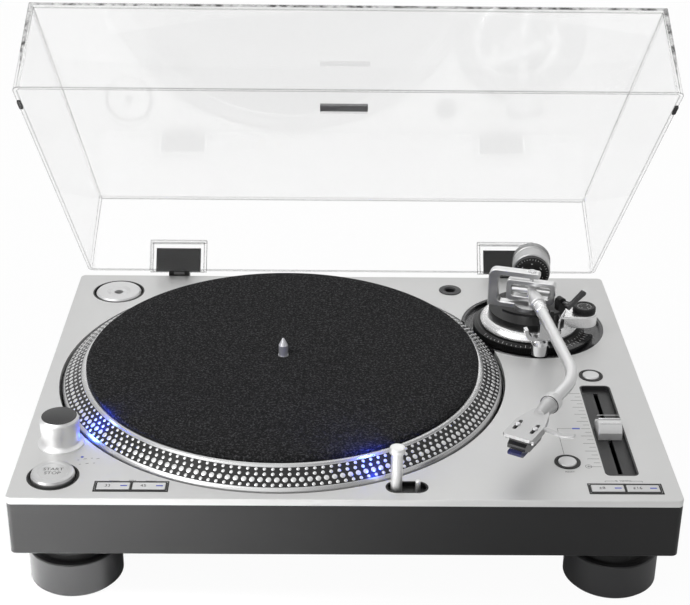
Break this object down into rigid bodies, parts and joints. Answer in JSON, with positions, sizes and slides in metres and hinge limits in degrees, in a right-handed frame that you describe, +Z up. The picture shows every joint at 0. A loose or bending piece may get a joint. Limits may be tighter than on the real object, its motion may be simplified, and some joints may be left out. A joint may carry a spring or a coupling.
{
  "type": "direct-drive record turntable",
  "caption": "Record turntable with a hinged clear cover, dotted platter, S-shaped gimbal tonearm, pitch slider and pop-up target lamp on levelling feet.",
  "frame": {"origin": "on the surface that the feet stand on, under the middle of the bounding box, with the cover open as it is at rest", "axes": "+Z up, +X to the right of someone facing the controls, -Y to the front, where the controls are"},
  "size_m": [0.45, 0.3837, 0.3825],
  "materials": {
    "brushed_plate": "satin brushed",
    "dark_housing": "fine satin",
    "black_plastic": "matte",
    "dark_plastic": "satin",
    "gloss_black": "gloss",
    "cast_silver": "turned",
    "satin_silver": "satin",
    "polished": "polished",
    "bright_steel": "ground",
    "felt": "felt",
    "soft_rubber": "matte",
    "clear": "polished",
    "bearing_brass": "turned",
    "blue_plastic": "translucent",
    "magnet_black": "matte",
    "gold_contact": "plated",
    "board_green": "satin"
  },
  "bodies": {
    "plinth": {"base_housing": "dark_housing", "top_plate": "brushed_plate", "platter_well": "black_plastic", "bearing_sleeve": "bearing_brass", "motor_stator": "magnet_black", "arm_dish": "gloss_black", "slider_bed": "dark_plastic", "terminal_panel": "black_plastic", "signal_jacks": "gold_contact", "hinge_blocks": "black_plastic", "foot_isolators": "soft_rubber", "strobe_tower": "satin_silver", "strobe_lens": "blue_plastic", "headshell_socket": "dark_plastic", "control_cups": "black_plastic", "round_bezels": "satin_silver", "electronics": "board_green"},
    "platter": {"platter": "cast_silver", "slipmat": "felt", "spindle": "bright_steel", "rotor_magnet": "magnet_black"},
    "cover": {"dust_cover": "clear", "hinge_leaves": "black_plastic", "cover_bumpers": "soft_rubber"},
    "height_ring": {"height_ring": "black_plastic"},
    "arm_base": {"arm_platform": "satin_silver", "gimbal_drum": "black_plastic", "gimbal_yoke": "satin_silver", "lever_bearing": "black_plastic", "lever_stay": "polished", "arm_rest": "polished"},
    "anti_skate_knob": {"anti_skate_knob": "black_plastic"},
    "lift_bar": {"lift_bar": "black_plastic"},
    "cue_lever": {"cue_lever": "gloss_black"},
    "arm_lock": {"arm_lock": "black_plastic"},
    "gimbal": {"gimbal_frame": "satin_silver"},
    "tonearm": {"arm_pivot": "polished", "arm_tube": "polished", "headshell": "satin_silver", "cartridge": "gloss_black", "stylus": "blue_plastic"},
    "counterweight": {"counterweight": "satin_silver"},
    "weight_dial": {"weight_dial": "black_plastic"},
    "locking_collar": {"locking_collar": "satin_silver"},
    "power_knob": {"power_knob": "satin_silver"},
    "start_button": {"start_button": "satin_silver"},
    "speed_button_33": {"speed_button_33": "satin_silver"},
    "speed_button_45": {"speed_button_45": "satin_silver"},
    "pitch_button_low": {"pitch_button_low": "satin_silver"},
    "pitch_button_high": {"pitch_button_high": "satin_silver"},
    "round_button_front": {"round_button_front": "satin_silver"},
    "round_button_rear": {"round_button_rear": "satin_silver"},
    "pitch_slider": {"pitch_slider": "satin_silver"},
    "target_lamp": {"target_lamp": "satin_silver"},
    "lamp_release_pin": {"lamp_release_pin": "satin_silver"},
    "adaptor_45": {"adaptor_45": "satin_silver"},
    "foot_front_left": {"foot_cup_front_left": "dark_plastic"},
    "foot_front_right": {"foot_cup_front_right": "dark_plastic"},
    "foot_rear_left": {"foot_cup_rear_left": "dark_plastic"},
    "foot_rear_right": {"foot_cup_rear_right": "dark_plastic"}
  },
  "joints": [
    {"name": "platter_spin", "type": "hinge", "parent": "plinth", "child": "platter", "pos_m": [-0.046, -0.01652, 0.0895], "axis": [0, 0, -1], "continuous": true},
    {"name": "cover_hinge", "type": "hinge", "parent": "plinth", "child": "cover", "pos_m": [0, 0.15838, 0.0973], "axis": [-1, 0, 0], "range_deg": [-44.6, 0]},
    {"name": "height_ring_turn", "type": "hinge", "parent": "plinth", "child": "height_ring", "pos_m": [0.1508, 0.06218, 0.0895], "axis": [0, 0, 1], "range_deg": [0, 300]},
    {"name": "arm_base_lift", "type": "slide", "parent": "plinth", "child": "arm_base", "axis": [0, 0, 1], "range_m": [0, 0.006]},
    {"name": "anti_skate_turn", "type": "hinge", "parent": "arm_base", "child": "anti_skate_knob", "pos_m": [0.1928, 0.05118, 0.109], "axis": [0, 0, 1], "range_deg": [-150, 150]},
    {"name": "cue_lever_turn", "type": "hinge", "parent": "arm_base", "child": "cue_lever", "pos_m": [0.1712, 0.05218, 0.1195], "axis": [-0.4633, 0.8862, 0], "range_deg": [0, 30]},
    {"name": "lift_bar_slide", "type": "slide", "parent": "arm_base", "child": "lift_bar", "axis": [0, 0, -1], "range_m": [0, 0.005]},
    {"name": "arm_lock_turn", "type": "hinge", "parent": "arm_base", "child": "arm_lock", "pos_m": [0.15566, 0.01513, 0.1145], "axis": [-0.9947, -0.1028, 0], "range_deg": [0, 60]},
    {"name": "tonearm_swing", "type": "hinge", "parent": "arm_base", "child": "gimbal", "pos_m": [0.1508, 0.06218, 0.1223], "axis": [0, 0, -1], "range_deg": [0, 48]},
    {"name": "tonearm_lift", "type": "hinge", "parent": "gimbal", "child": "tonearm", "pos_m": [0.1508, 0.06218, 0.1223], "axis": [-0.9613, 0.2756, 0], "range_deg": [0, 5]},
    {"name": "counterweight_turn", "type": "hinge", "parent": "tonearm", "child": "counterweight", "pos_m": [0.1508, 0.06218, 0.1223], "axis": [0.1219, 0.9925, 0], "range_deg": [-360, 360]},
    {"name": "weight_dial_turn", "type": "hinge", "parent": "counterweight", "child": "weight_dial", "pos_m": [0.1508, 0.06218, 0.1223], "axis": [0.1219, 0.9925, 0], "range_deg": [-180, 180]},
    {"name": "locking_collar_turn", "type": "hinge", "parent": "tonearm", "child": "locking_collar", "pos_m": [0.117, -0.16275, 0.1223], "axis": [0.515, 0.8572, 0], "range_deg": [0, 30]},
    {"name": "power_knob_turn", "type": "hinge", "parent": "plinth", "child": "power_knob", "pos_m": [-0.1988, -0.12172, 0.0895], "axis": [0, 0, -1], "range_deg": [0, 45]},
    {"name": "start_button_press", "type": "slide", "parent": "plinth", "child": "start_button", "axis": [0, 0, -1], "range_m": [0, 0.0015], "stiffness_N_per_m": 800, "springref_m": -0.001},
    {"name": "speed_button_33_press", "type": "slide", "parent": "plinth", "child": "speed_button_33", "axis": [0, 0, -1], "range_m": [0, 0.0015], "stiffness_N_per_m": 800, "springref_m": -0.001},
    {"name": "speed_button_45_press", "type": "slide", "parent": "plinth", "child": "speed_button_45", "axis": [0, 0, -1], "range_m": [0, 0.0015], "stiffness_N_per_m": 800, "springref_m": -0.001},
    {"name": "pitch_button_low_press", "type": "slide", "parent": "plinth", "child": "pitch_button_low", "axis": [0, 0, -1], "range_m": [0, 0.0015], "stiffness_N_per_m": 800, "springref_m": -0.001},
    {"name": "pitch_button_high_press", "type": "slide", "parent": "plinth", "child": "pitch_button_high", "axis": [0, 0, -1], "range_m": [0, 0.0015], "stiffness_N_per_m": 800, "springref_m": -0.001},
    {"name": "round_button_front_press", "type": "slide", "parent": "plinth", "child": "round_button_front", "axis": [0, 0, -1], "range_m": [0, 0.0015], "stiffness_N_per_m": 800, "springref_m": -0.001},
    {"name": "round_button_rear_press", "type": "slide", "parent": "plinth", "child": "round_button_rear", "axis": [0, 0, -1], "range_m": [0, 0.0015], "stiffness_N_per_m": 800, "springref_m": -0.001},
    {"name": "pitch_slider_slide", "type": "slide", "parent": "plinth", "child": "pitch_slider", "axis": [0, 1, 0], "range_m": [-0.043, 0.0475]},
    {"name": "target_lamp_slide", "type": "slide", "parent": "plinth", "child": "target_lamp", "axis": [0, 0, -1], "range_m": [0, 0.026]},
    {"name": "lamp_release_press", "type": "slide", "parent": "plinth", "child": "lamp_release_pin", "axis": [0, 0, -1], "range_m": [0, 0.0018], "stiffness_N_per_m": 800, "springref_m": -0.001},
    {"name": "adaptor_lift", "type": "slide", "parent": "plinth", "child": "adaptor_45", "axis": [0, 0, 1], "range_m": [0, 0.04]},
    {"name": "foot_turn_front_left", "type": "hinge", "parent": "plinth", "child": "foot_front_left", "pos_m": [-0.189, -0.14812, 0.0895], "axis": [0, 0, 1], "range_deg": [-180, 180]},
    {"name": "foot_turn_front_right", "type": "hinge", "parent": "plinth", "child": "foot_front_right", "pos_m": [0.189, -0.14812, 0.0895], "axis": [0, 0, 1], "range_deg": [-180, 180]},
    {"name": "foot_turn_rear_left", "type": "hinge", "parent": "plinth", "child": "foot_rear_left", "pos_m": [-0.189, 0.11188, 0.0895], "axis": [0, 0, 1], "range_deg": [-180, 180]},
    {"name": "foot_turn_rear_right", "type": "hinge", "parent": "plinth", "child": "foot_rear_right", "pos_m": [0.189, 0.11188, 0.0895], "axis": [0, 0, 1], "range_deg": [-180, 180]}
  ],
  "couplings": [
    {"joint": "height_ring_turn", "follows": "arm_base_lift", "rad_per_m": 872.66},
    {"joint": "cue_lever_turn", "follows": "lift_bar_slide", "rad_per_m": 104.72}
  ]
}
